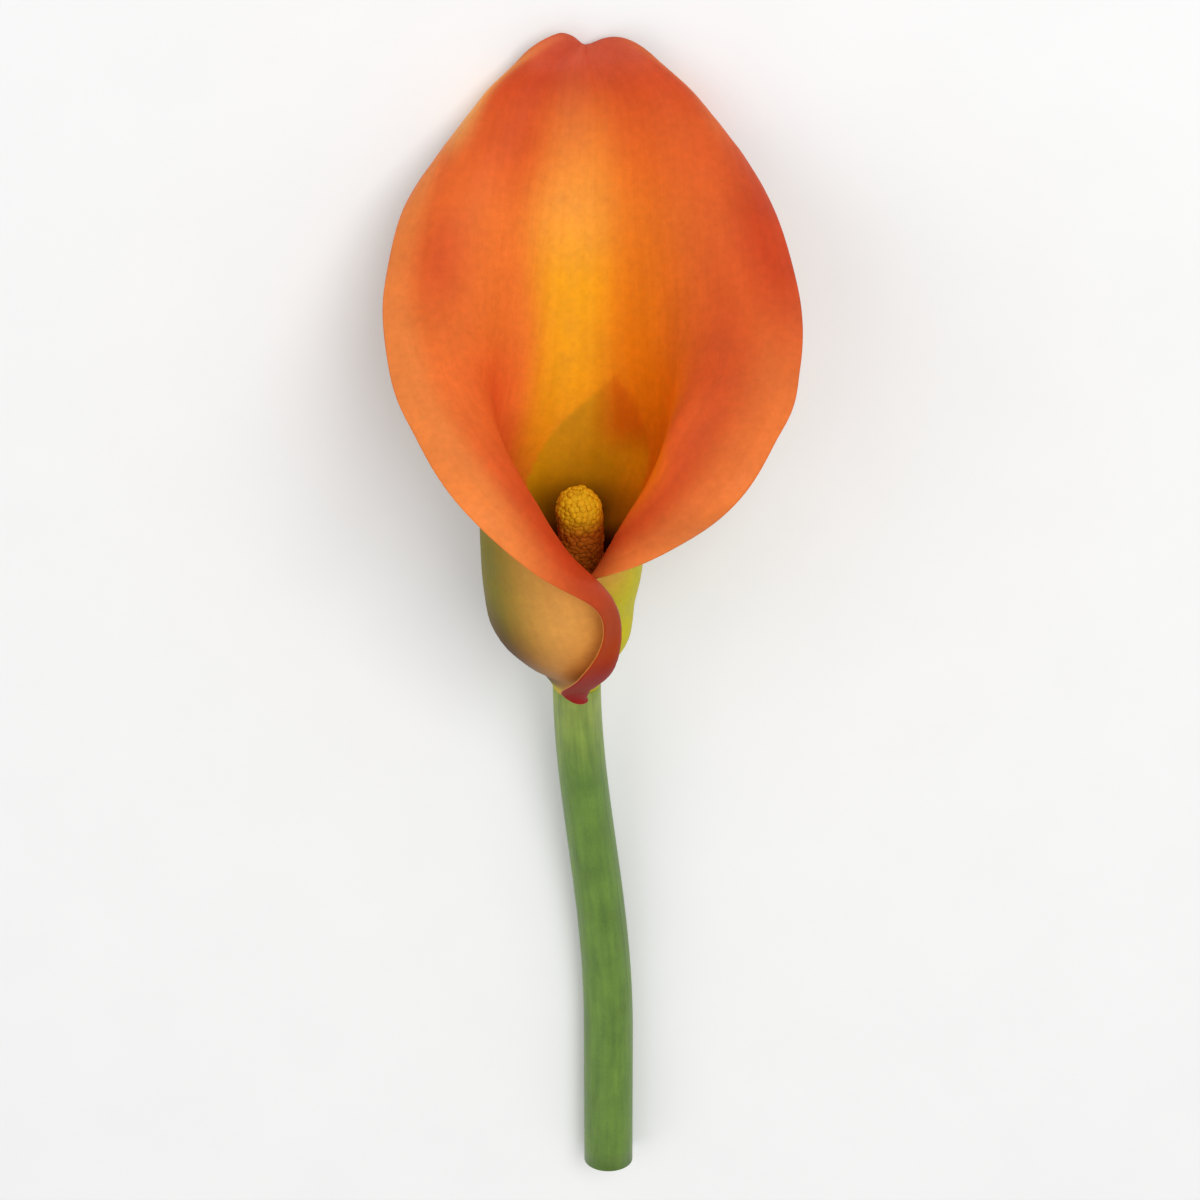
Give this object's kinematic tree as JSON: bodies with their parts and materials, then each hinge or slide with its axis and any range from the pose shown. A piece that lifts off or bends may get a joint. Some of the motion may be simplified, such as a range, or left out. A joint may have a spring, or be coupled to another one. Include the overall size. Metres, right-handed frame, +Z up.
{
  "type": "arum lily flower",
  "caption": "Picked arum lily flower lying on its back: a flared spathe rolled into a tube round a finger-shaped spadix, on a short curved cut stem.",
  "frame": {"origin": "bottom centre of the lying flower's bounding box, on the surface that it rests on", "axes": "+Z up from that surface, +Y along the flower from the cut end of its stem towards the tip of its spathe, +X to the right of the open throat as seen from above with the tip pointing away"},
  "size_m": [0.0624, 0.197, 0.054],
  "materials": {
    "spathe": "satin",
    "spadix_pollen": "matte",
    "spadix_ovaries": "satin",
    "stem": "satin"
  },
  "bodies": {
    "root": {"spathe": "spathe", "spadix_male_zone": "spadix_pollen", "spadix_female_zone": "spadix_ovaries", "stem": "stem"}
  },
  "joints": []
}
